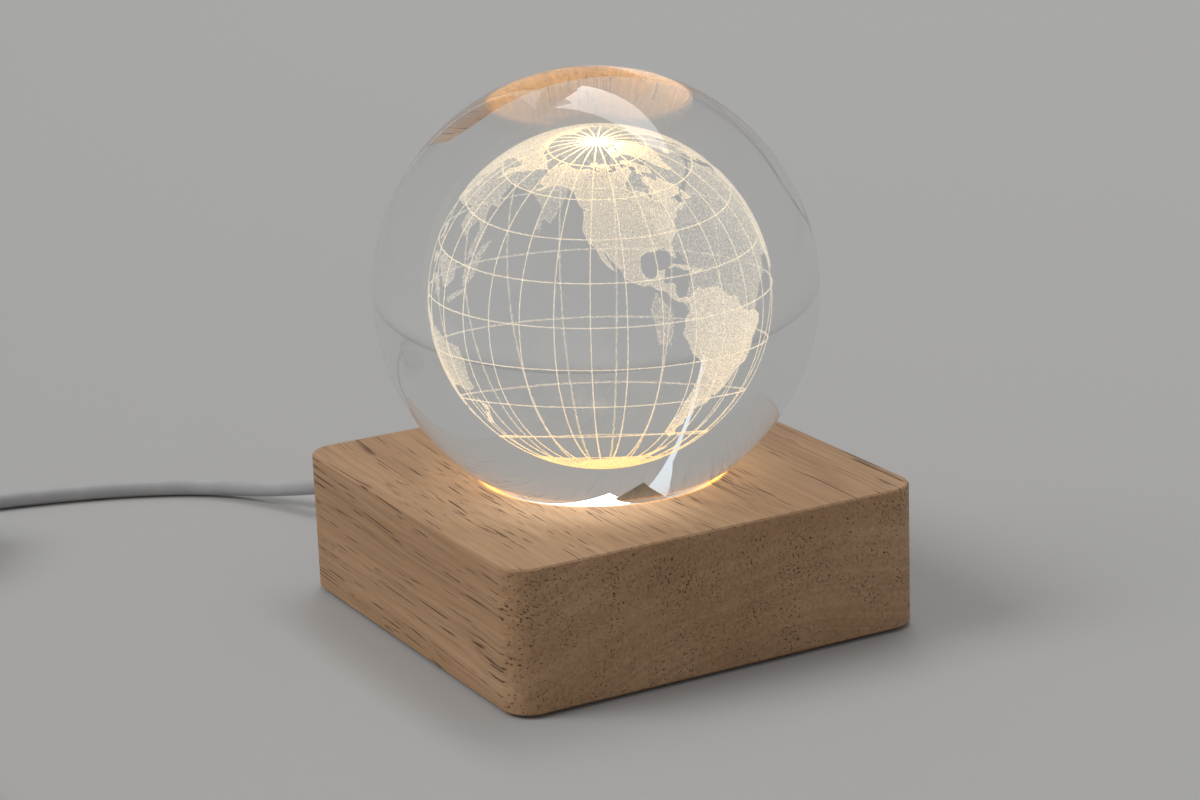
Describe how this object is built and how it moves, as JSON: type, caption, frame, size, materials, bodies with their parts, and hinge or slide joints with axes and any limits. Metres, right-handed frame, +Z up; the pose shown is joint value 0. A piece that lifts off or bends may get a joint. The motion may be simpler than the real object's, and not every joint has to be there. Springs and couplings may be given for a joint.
{
  "type": "glass ball lamp",
  "caption": "Night lamp: a clear glass ball with a globe engraved inside rests in the round recess of a wooden block, lit from below by a ring of lamps, with a cord, push switch and plug",
  "frame": {"origin": "on the table, under the middle of the wooden block", "axes": "+Z up; +X along the wood's grain, away from the side where the cord leaves; +Y to the far side of the block in the picture"},
  "size_m": [0.1697, 0.1898, 0.1],
  "materials": {
    "glass": "polished clear, engraved inside",
    "wood": "sanded, thin clear oil, grain along X",
    "foot_pad": "soft, dark",
    "board": "white solder mask",
    "lamp_package": "white frame, yellow window, lit",
    "resistor": "black chip",
    "screw": "plated",
    "cord": "light grey, soft sheen",
    "tie": "natural",
    "strap": "woven, black",
    "wire_red": "red insulation",
    "wire_black": "black insulation",
    "switch_housing": "fine grained, light grey",
    "switch_button": "smooth",
    "contact_block": "plain",
    "plug_grip": "moulded, light grey",
    "plug_shell": "nickel plated",
    "plug_tongue": "white",
    "contact": "gold plated"
  },
  "bodies": {
    "base": {"board_screws": "screw", "coil_strap": "strap", "cord_coil": "cord", "cord_end": "cord", "cord_entry": "cord", "cord_lead": "cord", "cord_tail": "cord", "cord_tie": "tie", "foot_1": "foot_pad", "foot_2": "foot_pad", "foot_3": "foot_pad", "foot_4": "foot_pad", "led_1": "lamp_package", "led_2": "lamp_package", "led_3": "lamp_package", "led_4": "lamp_package", "led_5": "lamp_package", "led_6": "lamp_package", "led_7": "lamp_package", "led_board": "board", "plug_body": "plug_grip", "plug_contacts": "contact", "plug_shell": "plug_shell", "plug_tongue": "plug_tongue", "resistors": "resistor", "switch_contacts": "contact_block", "switch_lower": "switch_housing", "switch_upper": "switch_housing", "wire_negative": "wire_black", "wire_positive": "wire_red", "wooden_base": "wood"},
    "ball": {"crystal_ball": "glass"},
    "button": {"switch_button": "switch_button"}
  },
  "joints": [
    {"name": "ball_turn", "type": "hinge", "parent": "base", "child": "ball", "pos_m": [0, 0, 0.05996], "axis": [0, 0, 1], "continuous": true},
    {"name": "button_press", "type": "slide", "parent": "base", "child": "button", "axis": [0, 0, -1], "range_m": [0, 0.0012], "stiffness_N_per_m": 300, "springref_m": -0.001}
  ]
}
